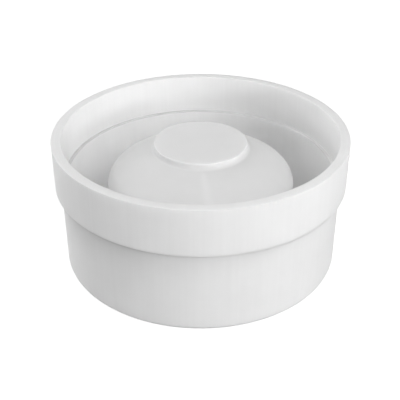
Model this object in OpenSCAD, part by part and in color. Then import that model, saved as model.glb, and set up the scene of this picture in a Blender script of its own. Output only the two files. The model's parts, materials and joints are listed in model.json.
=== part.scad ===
// Insert of a floor drain trap: a cup with a thick collar, and a bell that lifts out for cleaning.
// Waste water runs over the bell, down the ring-shaped gap round it, under its skirt, up inside
// it, over the top of the outlet pipe and out through the base. What stays in the cup, up to the
// top of that pipe, is the water seal that holds back drain air.
// Millimetres, +Z up. The origin is the centre of the base, on the axis of the part.

/* [Collar] */
// Outer diameter of the collar, the spigot that enters the drain body's socket
collar_d = 110; // [105:1:125]
// Height of the collar, from its underside to the rim
collar_h = 17.8; // [17:0.1:19]
// Wall thickness of the collar
collar_wall = 3.7; // [3.4:0.1:4.2]
// Depth of the ledge inside the collar, below the rim
ledge_depth = 15.4; // [12:0.1:16]
// Width of the ledge, from the collar's bore in to the cup's bore
ledge_w = 1.3; // [1.2:0.1:2]
// Width of the seat under the collar, from the collar's outside in to the cup's outside
seat_w = 2.2; // [1.6:0.1:2.4]

/* [Cup] */
// Height of the whole part, from the base to the rim
body_h = 50.7; // [50:0.1:56]
// Thickness of the cup's floor
floor_t = 3; // [2.6:0.1:4]
// Depth of the shallow recess in the underside, between the foot ring and the outlet
recess_depth = 0.8; // [0.5:0.1:1.2]
// Width of the foot ring that the part stands on
foot_w = 7; // [5:0.5:12]

/* [Outlet pipe] */
// Bore of the outlet pipe, which lets a 40 mm waste pipe in
outlet_d = 40.4; // [36:0.1:42]
// Wall thickness of the outlet pipe
outlet_wall = 2.5; // [2.2:0.1:3]
// Height of the pipe's top above the base, which sets the water level
outlet_h = 30; // [24:0.5:31]

/* [Bell] */
// Outer diameter of the bell's skirt
bell_d = 71; // [68:0.5:76]
// Wall thickness of the bell
bell_wall = 2.2; // [1.8:0.1:2.6]
// Slope of the bell's conical crown, in degrees below the horizontal
crown_slope = 31; // [28:1:32]
// Radius of the shoulder between the crown and the skirt
shoulder_r = 7.5; // [6:0.5:9]
// Clear height between the cup's floor and the lower edge of the skirt
skirt_clear = 7; // [5:0.5:9]

/* [Knob] */
// Diameter of the finger knob on the bell
knob_d = 35; // [32:0.5:38]
// Height of the knob's side, down to where it meets the crown
knob_h = 1.7; // [1.5:0.1:2.6]
// Depth of the knob's flat top below the rim
knob_depth = 4.4; // [3:0.1:5]
// Radius of the knob's top edge
knob_edge_r = 0.6; // [0.3:0.1:0.8]
// Radius of the hollow at the knob's foot
knob_foot_r = 1.5; // [0.8:0.1:1.8]

/* [Ribs] */
// Number of ribs inside the bell, which stand on the outlet pipe and centre the bell on it
rib_count = 4; // [3:1:8]
// Thickness of a rib
rib_t = 2; // [1.5:0.1:3]
// Length of the ribs' guides below the top of the outlet pipe
guide_h = 12; // [6:1:15]
// Play between the guides and the outlet pipe
guide_play = 0.4; // [0.2:0.1:0.8]
// Size of the sloped lead-in at the lower end of a guide
guide_lead = 2; // [1:0.5:3]

/* [Edges] */
// Radius of the rim's outer edge
rim_outer_r = 0.5; // [0.3:0.1:1.2]
// Radius of the rim's inner edge
rim_inner_r = 0.6; // [0.3:0.1:1.2]
// Radius of the collar's lower edge
collar_edge_r = 0.2; // [0.1:0.1:0.5]
// Radius of the cup's lower edge
base_edge_r = 1.6; // [0.6:0.1:2.2]
// Radius of the hollows between the cup's floor and its walls
floor_fillet_r = 2.5; // [1:0.5:4]
// Radius of the other small edges and hollows
small_r = 0.4; // [0.2:0.1:0.5]

/* [Hidden] */
part_color = [0.92, 0.92, 0.92];

// Radii and levels of the cup
collar_r = collar_d / 2;
socket_r = collar_r - collar_wall;
cup_r = collar_r - seat_w;
cup_inner_r = socket_r - ledge_w;
outlet_r = outlet_d / 2;
pipe_r = outlet_r + outlet_wall;
seat_z = body_h - collar_h;
ledge_z = body_h - ledge_depth;
recess_outer_r = cup_r - foot_w;
recess_inner_r = pipe_r + floor_fillet_r;

// Radii and levels of the bell
bell_r = bell_d / 2;
knob_r = knob_d / 2;
knob_top_z = body_h - knob_depth;
crown_z = knob_top_z - knob_h;
skirt_z = floor_t + skirt_clear;
shoulder_at_r = bell_r - shoulder_r;
shoulder_z = crown_at(shoulder_at_r, shoulder_r);
hollow_at_r = knob_r + knob_foot_r;
hollow_z = crown_at(hollow_at_r, -knob_foot_r);

// Quarters for corner(): which way the rounded piece lies from its corner
OUT_UP = 0;
IN_UP = 1;
IN_DOWN = 2;
OUT_DOWN = 3;

// Level of the crown at radius r, or of the line a given inset below it
function crown_at(r, inset) = crown_z - (r - knob_r) * tan(crown_slope) - inset / cos(crown_slope);

// The piece between a square corner and the quarter circle that rounds it
module corner(at, r, quarter) {
    translate(at) rotate(90 * quarter) difference() {
        square(r);
        translate([r, r]) circle(r, $fn = 64);
    }
}

// Half section of the cup with sharp corners, from the outlet outwards and back
module cup_outline() {
    polygon([
        [outlet_r, 0], [recess_inner_r, 0],
        [recess_inner_r, recess_depth], [recess_outer_r, recess_depth],
        [recess_outer_r, 0], [cup_r, 0],
        [cup_r, seat_z], [collar_r, seat_z],
        [collar_r, body_h], [socket_r, body_h],
        [socket_r, ledge_z], [cup_inner_r, ledge_z],
        [cup_inner_r, floor_t], [pipe_r, floor_t],
        [pipe_r, outlet_h], [outlet_r, outlet_h]
    ]);
}

// Collar, ledge, cup, floor and outlet pipe are one moulding
module trap_cup() {
    color(part_color) rotate_extrude($fn = 180) difference() {
        union() {
            cup_outline();
            corner([cup_r, seat_z], small_r, OUT_DOWN);
            corner([socket_r, ledge_z], small_r, IN_UP);
            corner([cup_inner_r, floor_t], floor_fillet_r, IN_UP);
            corner([pipe_r, floor_t], floor_fillet_r, OUT_UP);
        }
        corner([collar_r, body_h], rim_outer_r, IN_DOWN);
        corner([socket_r, body_h], rim_inner_r, OUT_DOWN);
        corner([collar_r, seat_z], collar_edge_r, IN_UP);
        corner([cup_inner_r, ledge_z], small_r, OUT_DOWN);
        corner([cup_r, 0], base_edge_r, IN_UP);
        corner([outlet_r, 0], small_r, OUT_UP);
        corner([outlet_r, outlet_h], small_r, OUT_DOWN);
        corner([pipe_r, outlet_h], small_r, IN_DOWN);
    }
}

// Filled half section of the bell's crown, shoulder and skirt, inset by part of the wall
module crown_outline(inset) {
    arc_r = shoulder_r - inset;
    end_r = shoulder_at_r + arc_r * sin(crown_slope);
    side_r = knob_r - inset;
    polygon([
        [0, skirt_z], [bell_r - inset, skirt_z], [bell_r - inset, shoulder_z],
        [shoulder_at_r, shoulder_z], [end_r, crown_at(end_r, inset)],
        [side_r, crown_at(side_r, inset)], [0, crown_at(side_r, inset)]
    ]);
    translate([shoulder_at_r, shoulder_z]) circle(arc_r, $fn = 128);
}

// Filled half section of the knob and the hollow at its foot, inset by part of the wall
module knob_outline(inset) {
    side_r = knob_r - inset;
    top_z = max(knob_top_z - inset, hollow_z);
    hollow_r = knob_foot_r + inset;
    foot_r = hollow_at_r - hollow_r * sin(crown_slope);
    difference() {
        polygon([
            [0, crown_z - bell_wall], [foot_r, crown_at(foot_r, inset)],
            [hollow_at_r, hollow_z], [side_r, hollow_z], [side_r, top_z], [0, top_z]
        ]);
        translate([hollow_at_r, hollow_z]) circle(hollow_r, $fn = 64);
        if (knob_edge_r > inset) corner([side_r, top_z], knob_edge_r - inset, IN_DOWN);
    }
}

// Filled half section of the whole bell, inset by part of the wall
module bell_outline(inset) {
    crown_outline(inset);
    knob_outline(inset);
}

// Outline of one rib: it stands on the pipe's top, and its guide runs down beside the pipe
module rib_outline() {
    seat_r = outlet_r - small_r;
    guide_r = pipe_r + guide_play;
    guide_z = outlet_h - guide_h;
    intersection() {
        polygon([
            [seat_r, outlet_h], [guide_r, outlet_h],
            [guide_r, guide_z + guide_lead], [guide_r + guide_lead, guide_z],
            [bell_r, guide_z], [bell_r, body_h], [seat_r, body_h]
        ]);
        bell_outline(bell_wall / 2);
    }
}

// Knob, crown, skirt and ribs are one moulding with an even wall
module bell() {
    color(part_color) {
        rotate_extrude($fn = 180) difference() {
            bell_outline(0);
            intersection() {
                bell_outline(bell_wall);
                square([bell_r, knob_top_z - bell_wall]);
            }
            corner([bell_r, skirt_z], small_r, IN_UP);
            corner([bell_r - bell_wall, skirt_z], small_r, OUT_UP);
        }
        for (i = [0 : rib_count - 1])
            rotate(360 / rib_count * (i + 0.5)) rotate([90, 0, 0])
                linear_extrude(rib_t, center = true) rib_outline();
    }
}

trap_cup();
bell();
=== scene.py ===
# %% [markdown]
# # A floor drain trap insert in white plastic
#
# The object is the part of a floor drain that holds the water seal. It is two mouldings: a cup with a
# thick collar and an outlet pipe in its middle, and a bell that stands over the pipe and lifts out by
# its knob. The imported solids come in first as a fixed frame. Everything that follows is made around
# them, in metres, with +Z up and the origin at the centre of the base.

# %% Load the frame
import json
from collections import namedtuple
from math import acos, atan2, cos, pi, radians, sin, tan

import bmesh
import bpy
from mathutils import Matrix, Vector

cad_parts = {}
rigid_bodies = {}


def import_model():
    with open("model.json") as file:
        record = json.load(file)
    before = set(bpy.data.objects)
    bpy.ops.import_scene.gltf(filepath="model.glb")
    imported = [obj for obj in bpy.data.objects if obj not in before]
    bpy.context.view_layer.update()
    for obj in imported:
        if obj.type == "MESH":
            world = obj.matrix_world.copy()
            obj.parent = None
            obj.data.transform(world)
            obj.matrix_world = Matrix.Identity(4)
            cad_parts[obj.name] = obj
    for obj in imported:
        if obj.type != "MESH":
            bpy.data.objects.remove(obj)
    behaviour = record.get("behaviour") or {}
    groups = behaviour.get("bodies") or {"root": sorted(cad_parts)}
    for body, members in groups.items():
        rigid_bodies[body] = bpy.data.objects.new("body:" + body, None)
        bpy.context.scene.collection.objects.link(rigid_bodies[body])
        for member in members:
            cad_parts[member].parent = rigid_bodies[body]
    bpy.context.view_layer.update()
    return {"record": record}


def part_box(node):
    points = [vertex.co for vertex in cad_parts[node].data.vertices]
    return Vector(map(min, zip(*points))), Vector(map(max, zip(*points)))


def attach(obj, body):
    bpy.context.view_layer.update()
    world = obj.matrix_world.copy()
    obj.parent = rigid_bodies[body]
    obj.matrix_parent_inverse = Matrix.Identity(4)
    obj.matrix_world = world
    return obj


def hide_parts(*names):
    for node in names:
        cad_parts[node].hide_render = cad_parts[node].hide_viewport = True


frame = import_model()

# %% [markdown]
# ## Sizes
#
# The record's mounts are the faces that other parts meet, so their radii and heights are exact. They
# give the main sizes of the cup, and the box of each node gives its reach. What neither of them says,
# such as a wall thickness, is a named value here, the same as in the solids.

# %% Sizes from the frame
MM = 0.001
mounts = {mount["name"]: mount for mount in frame["record"]["mounts"]}


def mount_radius(name):
    return mounts[name]["dims"]["r_mm"] * MM


def mount_height(name):
    return mounts[name]["pos_m"][2]


rim_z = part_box("trap_cup")[1].z
seat_z = mount_height("collar_seat")
ledge_z = mount_height("grate_ledge")
collar_r = mount_radius("collar_spigot")
socket_r = mount_radius("grate_socket")
outlet_r = mount_radius("outlet")
bell_low, bell_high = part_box("bell")
bell_r = bell_high.x
knob_top_z = bell_high.z
skirt_z = bell_low.z
print(f"collar {2 * collar_r:.4f} m across, rim at {rim_z:.4f} m, bell {2 * bell_r:.4f} m across")

# %% Sizes inside the mouldings
seat_w = 2.2 * MM
ledge_w = 1.3 * MM
cup_r = collar_r - seat_w
cup_inner_r = socket_r - ledge_w
floor_t = 3 * MM
recess_depth = 0.8 * MM
foot_w = 7 * MM
pipe_r = outlet_r + 2.5 * MM
pipe_top_z = 30 * MM
floor_fillet = 2.5 * MM
recess_inner_r = pipe_r + floor_fillet
recess_outer_r = cup_r - foot_w

bell_wall = 2.2 * MM
knob_r = 17.5 * MM
knob_h = 1.7 * MM
knob_foot_round = 1.5 * MM
crown_slope = radians(31)
crown_z = knob_top_z - knob_h


def crown_at(radius, inset=0.0):
    """Height of the crown's cone at a radius, or of the cone that lies inset below it."""
    return crown_z - (radius - knob_r) * tan(crown_slope) - inset / cos(crown_slope)


print(f"crown falls from {crown_z:.4f} m to {crown_at(bell_r):.4f} m before its shoulder is rounded")

# %% [markdown]
# ## Camera
#
# The photo looks down on the part at about 32 degrees through a fairly long lens. The camera's place
# came from fitting the circles of the rim, the ledge, the collar and the base to their outlines in
# the photo, so a new render can be laid over it.

# %% Camera
PHOTO_PIXELS = 400
FOCAL_PIXELS = 770.59
AXIS_PIXELS_RIGHT = 0.59
camera_pitch = radians(31.685)
camera_distance = 301.73 * MM
camera_target_z = rim_z - 30.08 * MM


def add_camera():
    data = bpy.data.cameras.new("photo_camera")
    data.lens = data.sensor_width * FOCAL_PIXELS / PHOTO_PIXELS
    data.clip_start = camera_distance / 100
    camera = bpy.data.objects.new("photo_camera", data)
    bpy.context.scene.collection.objects.link(camera)
    aside = -AXIS_PIXELS_RIGHT / FOCAL_PIXELS * camera_distance
    camera.location = (
        aside,
        -camera_distance * cos(camera_pitch),
        camera_target_z + camera_distance * sin(camera_pitch),
    )
    camera.rotation_euler = (pi / 2 - camera_pitch, 0, 0)
    bpy.context.scene.camera = camera
    return camera


camera = add_camera()
print(f"camera at {tuple(round(c, 4) for c in camera.location)}, lens {camera.data.lens:.1f} mm")

# %% [markdown]
# ## Turning a moulding from rings
#
# Both mouldings are round, and a hand modeller would build them in edit mode from one circle: extrude
# the ring, move it, scale it to the next radius, and go on round the section until the wall is closed.
# A spin of a drawn section gives the same surface, but rings keep every edge loop selectable by its
# radius and height, which is what the bevels need afterwards.
#
# The section is a list of sharp corners. Each has the radius and height of its ring and the radius of
# the round that the mould maker put there.

# %% Rings
Corner = namedtuple("Corner", "r z round", defaults=(0.0,))
RING_POINTS = 256
SAME_PLACE = 0.01 * MM


def deselect_all():
    bpy.ops.object.select_all(action="DESELECT")


def select_rings(piece, *corners):
    """In edit mode, selects only the edges that lie on the circles of the given corners."""
    bpy.ops.mesh.select_mode(type="EDGE")
    bpy.ops.mesh.select_all(action="DESELECT")
    mesh = bmesh.from_edit_mesh(piece.data)
    for edge in mesh.edges:
        edge.select = any(
            all(
                abs(vert.co.xy.length - corner.r) < SAME_PLACE and abs(vert.co.z - corner.z) < SAME_PLACE
                for vert in edge.verts
            )
            for corner in corners
        )
    mesh.select_flush_mode()
    bmesh.update_edit_mesh(piece.data)


def start_ring(name, corner, fill):
    """Adds the first circle of a moulding at its size and place, and opens it in edit mode."""
    deselect_all()
    bpy.ops.mesh.primitive_circle_add(
        vertices=RING_POINTS, radius=corner.r, fill_type=fill, location=(0, 0, corner.z)
    )
    piece = bpy.context.object
    piece.name = piece.data.name = name
    bpy.ops.object.transform_apply(location=True)
    bpy.ops.object.mode_set(mode="EDIT")
    select_rings(piece, corner)
    return piece


def extrude_ring(here, there):
    """Extrudes the selected ring from one corner of the section to the next."""
    bpy.ops.mesh.extrude_edges_move(TRANSFORM_OT_translate={"value": (0, 0, there.z - here.z)})
    grow = there.r / here.r
    bpy.ops.transform.resize(value=(grow, grow, 1))


# %% [markdown]
# A bevel with the profile value 0.5 gives a true quarter circle only where two faces meet at a right
# angle. At another turn the same value gives part of an ellipse. The shape is a superellipse whose
# middle point depends on the profile value, so the value that puts that point on the true arc follows
# from the turn. The offset is the distance from the sharp edge to where the arc leaves the face.

# %% Rounding a ring
FINE_ROUND = 0.45 * MM
FINE_STEPS = 4
COARSE_STEPS = 8
SHOULDER_STEPS = 20


def turn_at(before, corner, after):
    """How far the section turns at a corner, in radians."""
    first = atan2(corner.z - before.z, corner.r - before.r)
    second = atan2(after.z - corner.z, after.r - corner.r)
    turn = abs(second - first)
    return min(turn, 2 * pi - turn)


def round_steps(radius):
    if radius > floor_fillet:
        return SHOULDER_STEPS
    return COARSE_STEPS if radius > FINE_ROUND else FINE_STEPS


def round_ring(piece, before, corner, after):
    """Bevels one ring of the moulding to the round of its corner."""
    turn = turn_at(before, corner, after)
    select_rings(piece, corner)
    bpy.ops.mesh.bevel(
        offset_type="OFFSET",
        offset=corner.round * tan(turn / 2),
        segments=round_steps(corner.round),
        profile=(1 - 1 / (2 * (1 + cos(turn / 2)))) ** 2,
        affect="EDGES",
    )


def round_rings(piece, outline):
    closed = outline + outline[:2]
    for before, corner, after in zip(closed, closed[1:], closed[2:]):
        if corner.round:
            round_ring(piece, before, corner, after)


# %% [markdown]
# Smooth shading averages the normals round each vertex, and beside a fine round that would tip the
# normals of the big flat faces. A Weighted Normal modifier counts each face by its area, so the flat
# faces keep their own normals and the whole turn happens inside the round.

# %% Finishing a mesh
SHARP_FROM = radians(35)


def finish_surface(piece):
    """Merges doubles, turns the normals outwards and shades the piece as smooth plastic."""
    deselect_all()
    piece.select_set(True)
    bpy.context.view_layer.objects.active = piece
    bpy.ops.object.mode_set(mode="EDIT")
    bpy.ops.mesh.select_all(action="SELECT")
    bpy.ops.mesh.remove_doubles(threshold=SAME_PLACE / 10)
    bpy.ops.mesh.normals_make_consistent(inside=False)
    bpy.ops.object.mode_set(mode="OBJECT")
    bpy.ops.object.shade_smooth_by_angle(angle=SHARP_FROM)
    weighted = piece.modifiers.new("weighted_normals", "WEIGHTED_NORMAL")
    weighted.keep_sharp = True
    bpy.ops.object.modifier_apply(modifier=weighted.name)
    print(f"{piece.name}: {len(piece.data.vertices)} vertices, {len(piece.data.polygons)} faces")


# %% [markdown]
# ## The cup
#
# The collar, the ledge, the cup wall, the floor and the outlet pipe are one moulding with a closed
# section, like a ring. So the last ring is bridged to the first one. The walls are true cylinders,
# because the collar has to slide into a socket. The rounds at the rim and the seat are small, as their
# thin highlights in the photo show.

# %% Section of the cup
SMALL = 0.4 * MM
BASE_ROUND = 1.6 * MM
SEAT_ROUND = 0.1 * MM
RIM_OUTER_ROUND = 0.12 * MM
RIM_INNER_ROUND = 0.3 * MM
cup_outline = [
    Corner(outlet_r, 0, SMALL),
    Corner(recess_inner_r, 0),
    Corner(recess_inner_r, recess_depth),
    Corner(recess_outer_r, recess_depth),
    Corner(recess_outer_r, 0),
    Corner(cup_r, 0, BASE_ROUND),
    Corner(cup_r, seat_z, SMALL),
    Corner(collar_r, seat_z, SEAT_ROUND),
    Corner(collar_r, rim_z, RIM_OUTER_ROUND),
    Corner(socket_r, rim_z, RIM_INNER_ROUND),
    Corner(socket_r, ledge_z, SMALL),
    Corner(cup_inner_r, ledge_z, SMALL),
    Corner(cup_inner_r, floor_t, floor_fillet),
    Corner(pipe_r, floor_t, floor_fillet),
    Corner(pipe_r, pipe_top_z, SMALL),
    Corner(outlet_r, pipe_top_z, SMALL),
]

# %% Turn the cup
cup = start_ring("trap_cup_moulding", cup_outline[0], "NOTHING")
for here, there in zip(cup_outline, cup_outline[1:]):
    extrude_ring(here, there)
select_rings(cup, cup_outline[0], cup_outline[-1])
bpy.ops.mesh.bridge_edge_loops()
round_rings(cup, cup_outline)
bpy.ops.object.mode_set(mode="OBJECT")
print(f"{cup.name}: {len(cup_outline)} corners make {len(cup.data.polygons)} faces")

# %% [markdown]
# Round pins push the cup out of its mould, and each leaves a shallow disc on the underside. One pin is
# added and copied round the axis, and a Boolean modifier cuts them all out of the cup at once. A turn
# of the copies is given its centre, because without a window the pivot setting isn't read.

# %% Ejector pin marks
PIN_COUNT = 6
PIN_R = 3 * MM
PIN_DEPTH = 0.15 * MM
PIN_POINTS = 48
pin_at_r = (recess_inner_r + recess_outer_r) / 2


def copies_round_axis(piece, count):
    """Copies a piece at equal steps round the axis and joins the copies with it."""
    for i in range(1, count):
        deselect_all()
        piece.select_set(True)
        bpy.context.view_layer.objects.active = piece
        bpy.ops.object.duplicate()
        bpy.ops.transform.rotate(value=2 * pi * i / count, orient_axis="Z", center_override=(0, 0, 0))
        bpy.ops.object.transform_apply(location=True, rotation=True)
    deselect_all()
    for other in bpy.data.objects:
        other.select_set(other.name.startswith(piece.name))
    bpy.context.view_layer.objects.active = piece
    bpy.ops.object.join()
    return piece


def combine(piece, other, operation):
    """Cuts another closed piece out of this one, or merges it in, and removes the other."""
    deselect_all()
    piece.select_set(True)
    bpy.context.view_layer.objects.active = piece
    boolean = piece.modifiers.new("boolean", "BOOLEAN")
    boolean.operation = operation
    boolean.solver = "EXACT"
    boolean.object = other
    bpy.ops.object.modifier_apply(modifier=boolean.name)
    bpy.data.objects.remove(other, do_unlink=True)


deselect_all()
bpy.ops.mesh.primitive_cylinder_add(
    vertices=PIN_POINTS, radius=PIN_R, depth=2 * PIN_DEPTH, location=(pin_at_r, 0, recess_depth)
)
pin = bpy.context.object
pin.name = "ejector_pin"
bpy.ops.object.transform_apply(location=True)
combine(cup, copies_round_axis(pin, PIN_COUNT), "DIFFERENCE")
finish_surface(cup)

# %% [markdown]
# ## The bell
#
# The bell has an even wall, as good mouldings do, so the inside of its section follows the outside. It
# starts as a filled disc, the knob's flat top, and the section runs down over the crown and the
# shoulder to the skirt's lower edge and back up inside. It ends in the small stub that the sprue left
# under the knob, and that last ring is filled and poked to a fan, so the piece is closed.

# %% Section of the bell
inner_r = bell_r - bell_wall
knob_inner_z = knob_top_z - bell_wall
SPRUE_R = 1.5 * MM
SPRUE_H = 0.4 * MM
HOLLOW_STEPS = 6
KNOB_ROUND = 0.25 * MM
shoulder_round = 7.5 * MM


def hollow_rings():
    """The wall's inner side behind the hollow at the knob's foot: an arc from the cone to the knob."""
    radius = knob_foot_round + bell_wall
    middle_r = knob_r + knob_foot_round
    middle_z = crown_at(middle_r, -knob_foot_round)
    first, last = crown_slope, acos((middle_z - knob_inner_z) / radius)
    angles = [first + (last - first) * step / HOLLOW_STEPS for step in range(HOLLOW_STEPS + 1)]
    return [Corner(middle_r - radius * sin(angle), middle_z - radius * cos(angle)) for angle in angles]


bell_outline = [
    Corner(knob_r, knob_top_z, KNOB_ROUND),
    Corner(knob_r, crown_z, knob_foot_round),
    Corner(bell_r, crown_at(bell_r), shoulder_round),
    Corner(bell_r, skirt_z, SMALL),
    Corner(inner_r, skirt_z, SMALL),
    Corner(inner_r, crown_at(inner_r, bell_wall), shoulder_round - bell_wall),
    *hollow_rings(),
    Corner(SPRUE_R, knob_inner_z),
    Corner(SPRUE_R, knob_inner_z - SPRUE_H),
]

# %% Turn the bell
bell = start_ring("bell_moulding", bell_outline[0], "TRIFAN")
for here, there in zip(bell_outline, bell_outline[1:]):
    extrude_ring(here, there)
bpy.ops.mesh.edge_face_add()
bpy.ops.mesh.poke()
centre_line = [Corner(0, knob_top_z)] + bell_outline + [Corner(0, knob_inner_z - SPRUE_H)]
for before, corner, after in zip(centre_line, centre_line[1:], centre_line[2:]):
    if corner.round:
        round_ring(bell, before, corner, after)
bpy.ops.object.mode_set(mode="OBJECT")
print(f"{bell.name}: {len(bell_outline)} corners make {len(bell.data.polygons)} faces")

# %% [markdown]
# Four ribs hold the bell: each stands on the top of the outlet pipe, and a guide runs down beside the
# pipe to centre the skirt. A rib starts as a block for the guide. Its top is extruded up past the
# crown, the inner side of that upper part is extruded in over the pipe, and a bisect at the crown's
# slope takes off what would stand out of the wall. A second bisect trims the corner at the shoulder.

# %% One rib
RIB_COUNT = 4
RIB_T = 2 * MM
GUIDE_H = 12 * MM
GUIDE_LEAD = 2 * MM
guide_r = pipe_r + 0.4 * MM
rib_seat_r = outlet_r - SMALL
rib_outer_r = bell_r - bell_wall / 2
shoulder_at = Vector((bell_r - shoulder_round, 0, crown_at(bell_r - shoulder_round, shoulder_round)))


def select_faces(piece, wanted):
    """In edit mode, selects only the faces whose centre and normal pass the test."""
    bpy.ops.mesh.select_mode(type="FACE")
    bpy.ops.mesh.select_all(action="DESELECT")
    mesh = bmesh.from_edit_mesh(piece.data)
    for face in mesh.faces:
        face.select = wanted(face.calc_center_median(), face.normal)
    mesh.select_flush_mode()
    bmesh.update_edit_mesh(piece.data)


def cut_away(point, normal):
    """Bisects all of the open piece at a plane, drops what lies beyond it and closes the cut."""
    bpy.ops.mesh.select_all(action="SELECT")
    bpy.ops.mesh.bisect(plane_co=point, plane_no=normal, use_fill=True, clear_outer=True)


def add_rib():
    deselect_all()
    guide_z = pipe_top_z - GUIDE_H
    bpy.ops.mesh.primitive_cube_add(
        size=1,
        location=((guide_r + rib_outer_r) / 2, 0, (guide_z + pipe_top_z) / 2),
        scale=(rib_outer_r - guide_r, RIB_T, GUIDE_H),
    )
    rib = bpy.context.object
    rib.name = "bell_rib"
    bpy.ops.object.transform_apply(location=True, scale=True)
    bpy.ops.object.mode_set(mode="EDIT")
    select_faces(rib, lambda centre, normal: normal.z > 0.9)
    bpy.ops.mesh.extrude_region_move(TRANSFORM_OT_translate={"value": (0, 0, knob_top_z - pipe_top_z)})
    select_faces(rib, lambda centre, normal: normal.x < -0.9 and centre.z > pipe_top_z)
    bpy.ops.mesh.extrude_region_move(TRANSFORM_OT_translate={"value": (rib_seat_r - guide_r, 0, 0)})
    cut_away((knob_r, 0, crown_at(knob_r, bell_wall / 2)), (sin(crown_slope), 0, cos(crown_slope)))
    half_way = (crown_slope + pi / 2) / 2
    outwards = Vector((sin(half_way), 0, cos(half_way)))
    cut_away(shoulder_at + outwards * (shoulder_round - bell_wall / 2), outwards)
    chamfer_lead(rib, guide_z)
    bpy.ops.object.mode_set(mode="OBJECT")
    return rib


def chamfer_lead(rib, guide_z):
    """Bevels the lower inner edge of the guide, which finds the pipe when the bell is put back."""
    bpy.ops.mesh.select_mode(type="EDGE")
    bpy.ops.mesh.select_all(action="DESELECT")
    mesh = bmesh.from_edit_mesh(rib.data)
    for edge in mesh.edges:
        edge.select = all(
            abs(vert.co.x - guide_r) < SAME_PLACE and abs(vert.co.z - guide_z) < SAME_PLACE
            for vert in edge.verts
        )
    mesh.select_flush_mode()
    bmesh.update_edit_mesh(rib.data)
    bpy.ops.mesh.bevel(offset_type="OFFSET", offset=GUIDE_LEAD, segments=1, affect="EDGES")


rib = add_rib()
print(f"{rib.name}: from {rib_seat_r:.4f} m to {rib_outer_r:.4f} m from the axis")

# %% Four ribs in the bell
deselect_all()
rib.select_set(True)
bpy.context.view_layer.objects.active = rib
bpy.ops.transform.rotate(value=pi / RIB_COUNT, orient_axis="Z", center_override=(0, 0, 0))
bpy.ops.object.transform_apply(location=True, rotation=True)
combine(bell, copies_round_axis(rib, RIB_COUNT), "UNION")
finish_surface(bell)

# %% [markdown]
# ## Writing shader maths
#
# A material is easier to read as an expression than as a web of nodes. The class below wraps a socket,
# and each Python operator on it adds one Math node. The reflected forms let a plain number stand on
# the left, as in `1 - mask`. The finish has one method for every other node: it takes the node's type,
# its settings and the values or links of its sockets, and hands back the wrapped output.

# %% Sockets with operators
class Socket:
    """An output socket whose arithmetic adds Math nodes to its tree."""

    def __init__(self, finish, link):
        self.finish = finish
        self.link = link

    def maths(self, operation, *values):
        inputs = dict(enumerate(values))
        return self.finish.add("ShaderNodeMath", {"operation": operation}, inputs)

    def __add__(self, other):
        return self.maths("ADD", self, other)

    def __sub__(self, other):
        return self.maths("SUBTRACT", self, other)

    def __rsub__(self, other):
        return self.maths("SUBTRACT", other, self)

    def __mul__(self, other):
        return self.maths("MULTIPLY", self, other)

    def __truediv__(self, other):
        return self.maths("DIVIDE", self, other)

    def __abs__(self):
        return self.maths("ABSOLUTE", self)

    def fall(self):
        """One where this is zero, falling off exponentially as it grows."""
        return self.maths("EXPONENT", self * -1)

    __radd__ = __add__
    __rmul__ = __mul__


class Finish:
    """A material or world that is built up node by node."""

    def __init__(self, owner):
        owner.use_nodes = True
        self.owner = owner
        self.tree = owner.node_tree
        self.tree.nodes.clear()

    def add(self, kind, settings, inputs, output=0):
        node = self.tree.nodes.new(kind)
        for name, value in settings.items():
            setattr(node, name, value)
        for name, value in inputs.items():
            if isinstance(value, Socket):
                self.tree.links.new(value.link, node.inputs[name])
            else:
                node.inputs[name].default_value = value
        return Socket(self, node.outputs[output]) if node.outputs else None

    def fade(self, value, start, end):
        """Zero before start and one past end, with a smooth step between. Start may be the larger."""
        inputs = {"Value": value, "From Min": start, "From Max": end}
        return self.add("ShaderNodeMapRange", {"interpolation_type": "SMOOTHSTEP"}, inputs)

    def grey(self, level):
        """A neutral colour of a level that may change over the surface."""
        return self.add("ShaderNodeCombineColor", {}, {0: level, 1: level, 2: level})


# %% [markdown]
# ## White moulded plastic
#
# The real plastic is a plain white with a satin skin. Light goes a few millimetres into it and comes
# out again near by, which keeps the walls in the shade from going grey. What keeps it from looking like
# a flat colour is small: a fine grain that the mould's blasted steel leaves, a slow unevenness where
# the wall has shrunk, upright marks on the walls where the piece slid out of the mould, rings on the
# flat faces where the mould was turned, and gloss that changes a little from place to place. All of it
# reads Object coordinates, because both pieces sit at the origin.

# %% Plastic
PLASTIC_WHITE = 0.88
PLASTIC_IOR = 1.49
GLOW_WEIGHT = 1.0
GLOW_REACH = 2.5 * MM
ROUGHNESS = 0.56
GRAIN_PER_METRE = 2600
GRAIN_DEPTH = 0.02 * MM
GRAIN_STRENGTH = 0.35
GRAIN_ROUGH = 0.06
UNEVEN_PER_METRE = 55
UNEVEN_DEPTH = 0.15 * MM
UNEVEN_STRENGTH = 0.5
CLOUD_PER_METRE = 90
CLOUD_SHADE = 0.06
CLOUD_ROUGH = 0.10
DRAW_PER_METRE = 750
DRAW_STRETCH = 0.03
DRAW_SHADE = 0.05
DRAW_ROUGH = 0.08
RINGS_PER_METRE = 1500
RINGS_SHADE = 0.03
WALL_FACING = 0.5, 0.2
FLAT_FACING = 0.8, 0.95


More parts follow.
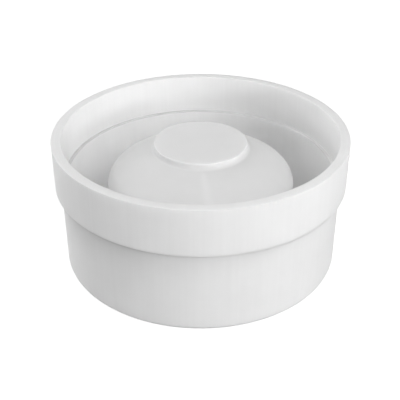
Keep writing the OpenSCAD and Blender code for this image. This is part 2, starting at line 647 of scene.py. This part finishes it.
class Plastic(Finish):
    """A white plastic with the places on the piece that its finish goes by."""

    def __init__(self, name):
        super().__init__(bpy.data.materials.new(name))
        self.place = self.add("ShaderNodeTexCoord", {}, {}, "Object")
        facing = self.add("ShaderNodeTexCoord", {}, {}, "Normal")
        level = self.add("ShaderNodeVectorMath", {"operation": "MULTIPLY"}, {0: self.place, 1: (1, 1, 0)})
        self.radius = self.add("ShaderNodeVectorMath", {"operation": "LENGTH"}, {0: level}, "Value")
        self.x, self.y, self.z = (self.part(self.place, axis) for axis in "XYZ")
        self.up = self.part(facing, "Z")

    def part(self, vector, axis):
        return self.add("ShaderNodeSeparateXYZ", {}, {"Vector": vector}, axis)

    def noise(self, per_metre, detail, vector=None):
        """Noise from 0 to 1 whose features are about one over per_metre across."""
        inputs = {"Vector": vector or self.place, "Scale": per_metre, "Detail": detail}
        return self.add("ShaderNodeTexNoise", {"normalize": True}, inputs)

    def draw_marks(self):
        """Noise that is drawn out along the axis, on the upright walls only."""
        stretched = self.add(
            "ShaderNodeMapping", {"vector_type": "POINT"},
            {"Vector": self.place, "Scale": (1, 1, DRAW_STRETCH)},
        )
        wall = self.fade(abs(self.up), *WALL_FACING)
        return wall * (self.noise(DRAW_PER_METRE, 2, stretched) - 0.5)

    def turning_rings(self):
        """Noise that goes by the radius alone, on the flat faces only."""
        rings = self.add(
            "ShaderNodeTexNoise", {"noise_dimensions": "1D"},
            {"W": self.radius, "Scale": RINGS_PER_METRE, "Detail": 1},
        )
        return self.fade(abs(self.up), *FLAT_FACING) * (rings - 0.5)

    def bump(self, height, distance, strength, normal=None):
        inputs = {"Height": height, "Distance": distance, "Strength": strength}
        if normal:
            inputs["Normal"] = normal
        return self.add("ShaderNodeBump", {}, inputs)

    def skin(self, level):
        """Gives the material its satin skin over a neutral colour level, and an output."""
        grain = self.noise(GRAIN_PER_METRE, 2)
        uneven = self.noise(UNEVEN_PER_METRE, 1)
        cloud = self.noise(CLOUD_PER_METRE, 3) - 0.5
        marks = self.draw_marks()
        rings = self.turning_rings()
        shade = level * (1 + CLOUD_SHADE * cloud + DRAW_SHADE * marks + RINGS_SHADE * rings)
        rough = ROUGHNESS + CLOUD_ROUGH * cloud + GRAIN_ROUGH * (grain - 0.5) + DRAW_ROUGH * marks
        slow_relief = self.bump(uneven, UNEVEN_DEPTH, UNEVEN_STRENGTH)
        relief = self.bump(grain, GRAIN_DEPTH, GRAIN_STRENGTH, slow_relief)
        surface = self.add(
            "ShaderNodeBsdfPrincipled", {},
            {
                "Base Color": self.grey(shade),
                "Roughness": rough,
                "Normal": relief,
                "IOR": PLASTIC_IOR,
                "Subsurface Weight": GLOW_WEIGHT,
                "Subsurface Radius": (1, 1, 1),
                "Subsurface Scale": GLOW_REACH,
            },
        )
        self.add("ShaderNodeOutputMaterial", {}, {"Surface": surface})
        return self.owner


# %% [markdown]
# Shade is painted into the cup's colour as a darker grey. It lies on the ledge in two patches, a wide one
# at the left and the back and a small one at the far right. It is also painted under the collar as its
# shadow on the
# wall, from where it thins out downwards, and is thicker at the left. Each pair of values below is a fade:
# where it starts and where it is full.

# %% Painted shade on the cup
# Strengths of the painted shade on the ledge and of the painted shadow under the collar.
LEDGE_PAINTED_SHADE = 0.3
LEDGE_PAINTED_SHADE_RIGHT = 0.17
EDGE_ABOVE = -0.2 * MM, 0
EDGE_BELOW = 0.55 * MM, 0.25 * MM
INSIDE_SOCKET = socket_r + 2 * MM, socket_r + 1 * MM
LEFT_PATCH_X = 40 * MM, -5 * MM
RIGHT_PATCH_X = 38 * MM, 46 * MM
RIGHT_PATCH_Y = -2 * MM, 14 * MM
COLLAR_PAINTED_SHADE = 0.11
COLLAR_PAINTED_SHADE_LEFT = 0.21
COLLAR_LEFT_X = 5 * MM, -30 * MM
SEAT_EDGE = -0.05 * MM, 0
COLLAR_SHADE_REACH = 7 * MM

cup_plastic = Plastic("cup_plastic")
# The ledge patches are painted shade: a darker grey in the corner where the ledge meets the wall above it.
drop = ledge_z - cup_plastic.z
on_ledge = cup_plastic.fade(drop, *EDGE_ABOVE) * cup_plastic.fade(drop, *EDGE_BELOW)
inside = cup_plastic.fade(cup_plastic.radius, *INSIDE_SOCKET)
left_patch = LEDGE_PAINTED_SHADE * cup_plastic.fade(cup_plastic.x, *LEFT_PATCH_X)
at_right = cup_plastic.fade(cup_plastic.x, *RIGHT_PATCH_X) * cup_plastic.fade(cup_plastic.y, *RIGHT_PATCH_Y)
ledge_painted_shade = (left_patch + LEDGE_PAINTED_SHADE_RIGHT * at_right) * on_ledge * inside

# Painted shadow: the wall under the collar's overhang is made greyer, more at the left, fading downwards.
depth = seat_z - cup_plastic.z
below = cup_plastic.fade(depth, *SEAT_EDGE) * cup_plastic.fade(cup_plastic.radius, cup_inner_r, cup_r)
leftness = cup_plastic.fade(cup_plastic.x, *COLLAR_LEFT_X)
collar_painted_shade = (COLLAR_PAINTED_SHADE + COLLAR_PAINTED_SHADE_LEFT * leftness) * below * (depth / COLLAR_SHADE_REACH).fall()
cup_material = cup_plastic.skin(PLASTIC_WHITE * (1 - ledge_painted_shade - collar_painted_shade))
print(f"{cup_material.name}: {len(cup_plastic.tree.nodes)} nodes")

# %% [markdown]
# On the bell a lighter streak is painted down the front from the knob's foot as a highlight. It drifts to
# the right and widens on its way down. Painted shade, a darker grey, lies in the hollow round the knob's
# foot and thins out over the crown, thicker at the right.

# %% Painted highlight and shade on the bell
# The streak values are of a painted highlight, and the foot values of painted shade.
STREAK_START_X = 0.9 * MM
STREAK_START_Y = -19 * MM
STREAK_DRIFT = 0.155
STREAK_WIDTH = 0.9 * MM
STREAK_SPREAD = 0.1
STREAK_PAINTED_HIGHLIGHT = 0.045
STREAK_BEGINS = -1 * MM, 1 * MM
OUTER_SIDE = 0, 0.3
FOOT_PAINTED_SHADE = 0.04
FOOT_PAINTED_SHADE_RIGHT = 0.10
FOOT_SHADE_REACH = 3 * MM
FOOT_EDGE = -1 * MM, 0
FOOT_RIGHT_X = -5 * MM, 15 * MM

bell_plastic = Plastic("bell_plastic")
# Painted highlight: a lighter streak in the colour down the bell's front.
along = STREAK_START_Y - bell_plastic.y
aside = bell_plastic.x - STREAK_START_X - along * STREAK_DRIFT
spread = aside / (STREAK_WIDTH + STREAK_SPREAD * along)
outer_side = bell_plastic.fade(bell_plastic.up, *OUTER_SIDE)
started = bell_plastic.fade(along, *STREAK_BEGINS)
painted_highlight_streak = STREAK_PAINTED_HIGHLIGHT * outer_side * started * (spread * spread).fall()

# Painted shade in the hollow at the knob's foot, thinning out over the crown, more at the right.
foot = bell_plastic.radius - (knob_r + knob_foot_round)
rightness = bell_plastic.fade(bell_plastic.x, *FOOT_RIGHT_X)
at_foot = outer_side * bell_plastic.fade(foot, *FOOT_EDGE) * (foot / FOOT_SHADE_REACH).fall()
foot_painted_shade = (FOOT_PAINTED_SHADE + FOOT_PAINTED_SHADE_RIGHT * rightness) * at_foot
bell_material = bell_plastic.skin(PLASTIC_WHITE * (1 + painted_highlight_streak - foot_painted_shade))
print(f"{bell_material.name}: {len(bell_plastic.tree.nodes)} nodes")

# %% Dress the pieces
for piece, material, node in ((cup, cup_material, "trap_cup"), (bell, bell_material, "bell")):
    piece.data.materials.clear()
    piece.data.materials.append(material)
    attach(piece, "root")
    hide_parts(node)

# %% [markdown]
# ## Floor, sky and lights
#
# The photo is a studio picture on pure white. The floor and the sky are white where the camera, a
# reflection or a clear material looks at them, which Light Path tells, and the light that they give to
# the object stays plain. The lamps light the paper most in the middle, so its glow grows with distance
# and the far floor stays white in a low view too.

# %% Sky
SKY_LEVEL = 0.08
FLOOR_WHITE = 0.4
FLOOR_LIFT = 0.82
FLOOR_FAR_LIFT = 1.05
FLOOR_FAR = 0.35, 1.0
FLOOR_SIZE = 8.0
LIGHT_BOUNCES = 12


def seen_directly(finish):
    """One where a camera, glossy or transmitted ray looks, zero for the light on the object."""
    path = finish.add("ShaderNodeLightPath", {}, {}, "Is Camera Ray")
    sockets = path.link.node.outputs
    glossy = Socket(finish, sockets["Is Glossy Ray"])
    clear = Socket(finish, sockets["Is Transmission Ray"])
    return path.maths("MAXIMUM", path.maths("MAXIMUM", path, glossy), clear)


world = bpy.data.worlds.new("white_studio")
bpy.context.scene.world = world
sky = Finish(world)
lit = sky.add("ShaderNodeBackground", {}, {"Color": (1, 1, 1, 1), "Strength": SKY_LEVEL})
white = sky.add("ShaderNodeBackground", {}, {"Color": (1, 1, 1, 1), "Strength": 1.0})
backdrop = sky.add("ShaderNodeMixShader", {}, {0: seen_directly(sky), 1: lit, 2: white})
sky.add("ShaderNodeOutputWorld", {}, {"Surface": backdrop})
bpy.context.scene.cycles.diffuse_bounces = LIGHT_BOUNCES
print(f"sky lights the object at {SKY_LEVEL}, and light may bounce {LIGHT_BOUNCES} times")

# %% Floor
deselect_all()
bpy.ops.mesh.primitive_plane_add(size=FLOOR_SIZE, location=(0, 0, 0))
floor = bpy.context.object
floor.name = "studio_floor"
paper = Finish(bpy.data.materials.new("studio_paper"))
matte = paper.add("ShaderNodeBsdfDiffuse", {}, {"Color": (FLOOR_WHITE, FLOOR_WHITE, FLOOR_WHITE, 1)})
spot = paper.add("ShaderNodeTexCoord", {}, {}, "Object")
away = paper.add("ShaderNodeVectorMath", {"operation": "LENGTH"}, {0: spot}, "Value")
lift = FLOOR_LIFT + (FLOOR_FAR_LIFT - FLOOR_LIFT) * paper.fade(away, *FLOOR_FAR)
glow = paper.add("ShaderNodeEmission", {}, {"Color": paper.grey(lift * seen_directly(paper))})
both = paper.add("ShaderNodeAddShader", {}, {0: matte, 1: glow})
paper.add("ShaderNodeOutputMaterial", {}, {"Surface": both})
floor.data.materials.append(paper.owner)

# %% [markdown]
# The lamps are soft squares, all at one distance from the part. The key is a wide one at the right front
# with a small low lamp below it, and together they leave the left front in shade. A high lamp in front
# and one at the right light the bell and the knob. A low lamp at the left, and a low and a high one at
# the back left, keep that side and the inner walls from going grey. Their levels were fitted to the photo.

# %% Soft lights
LAMP_DISTANCE = 0.9
Lamp = namedtuple("Lamp", "name azimuth elevation size level")
lamps = [
    Lamp("key", 45, 25, 0.6, 0.40),
    Lamp("key_low", 45, 10, 0.1, 0.145),
    Lamp("front_high", 0, 40, 0.2, 0.215),
    Lamp("right_high", 68, 52, 0.2, 0.20),
    Lamp("left_low", -68, 10, 0.2, 0.16),
    Lamp("back_left_low", -112, 15, 0.6, 0.32),
    Lamp("back_left_high", -135, 40, 0.2, 0.22),
]


def add_lamp(lamp):
    """A square light that gives a white face turned to it the stated level.

    Azimuth 0 is on the camera's side and turns to the right, and elevation is above the floor."""
    around, up = radians(lamp.azimuth), radians(lamp.elevation)
    towards = Vector((sin(around) * cos(up), -cos(around) * cos(up), sin(up)))
    data = bpy.data.lights.new(lamp.name, "AREA")
    data.shape = "SQUARE"
    data.size = lamp.size
    data.energy = lamp.level * (pi * LAMP_DISTANCE) ** 2
    light = bpy.data.objects.new(lamp.name, data)
    light.location = towards * LAMP_DISTANCE
    light.rotation_euler = towards.to_track_quat("Z", "Y").to_euler()
    bpy.context.scene.collection.objects.link(light)
    print(f"{lamp.name}: {data.energy:.2f} W at {tuple(round(c, 3) for c in light.location)}")


for lamp in lamps:
    add_lamp(lamp)

# %% [markdown]
# ## Colour
#
# The Standard view shows a colour as it is written.

# %% Finish
bpy.context.scene.view_settings.view_transform = "Standard"
bpy.context.view_layer.update()
